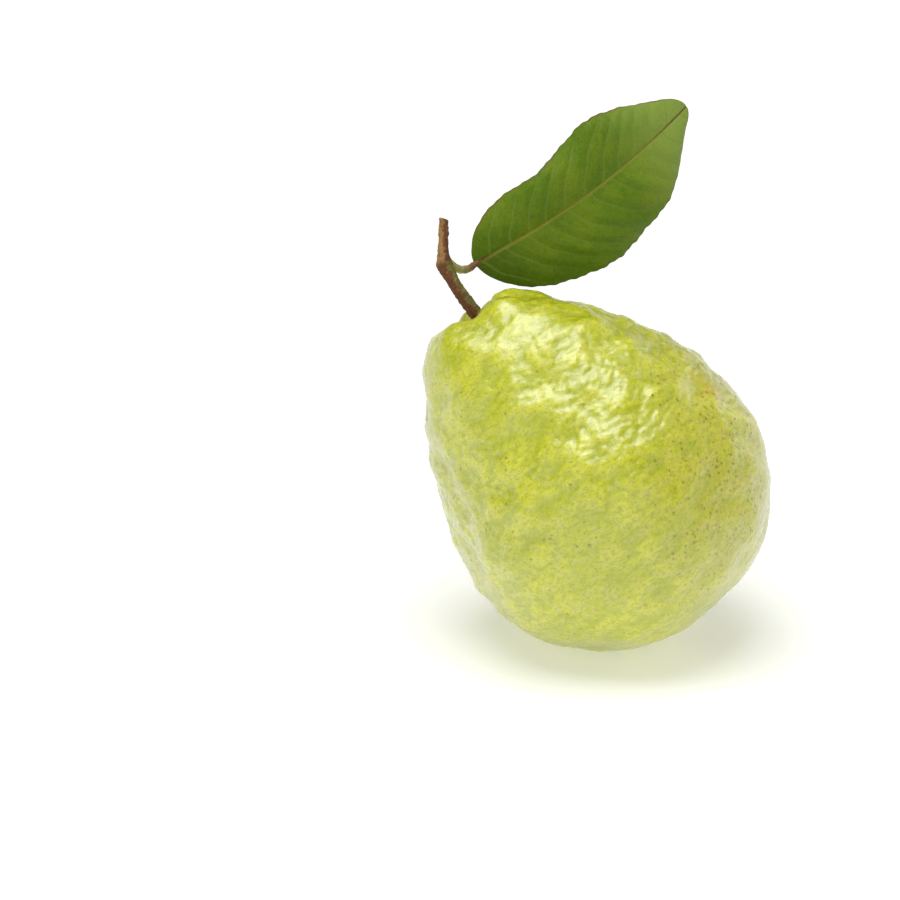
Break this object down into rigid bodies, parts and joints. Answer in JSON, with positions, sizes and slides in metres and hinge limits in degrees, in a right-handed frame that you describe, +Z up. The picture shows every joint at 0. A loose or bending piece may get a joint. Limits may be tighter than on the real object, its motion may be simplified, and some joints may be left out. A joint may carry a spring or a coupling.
{
  "type": "guava",
  "caption": "Whole lumpy-skinned guava as picked, lying on its side with its short woody twig, leaf and dry calyx.",
  "frame": {"origin": "centre of the small flat spot that the fruit lies on", "axes": "+Z up; the stem end is raised towards -X and the leaf's upper side faces -Y"},
  "size_m": [0.0856, 0.0815, 0.1297],
  "materials": {
    "skin": "glossy waxy yellow-green skin with rounded wrinkles and small specks",
    "bark": "dull brown bark with greenish patches",
    "leaf": "satin green blade with sunken veins and a reddish margin",
    "calyx": "dry and dull"
  },
  "bodies": {
    "root": {"fruit": "skin", "twig": "bark", "leaf": "leaf", "calyx": "calyx"}
  },
  "joints": []
}
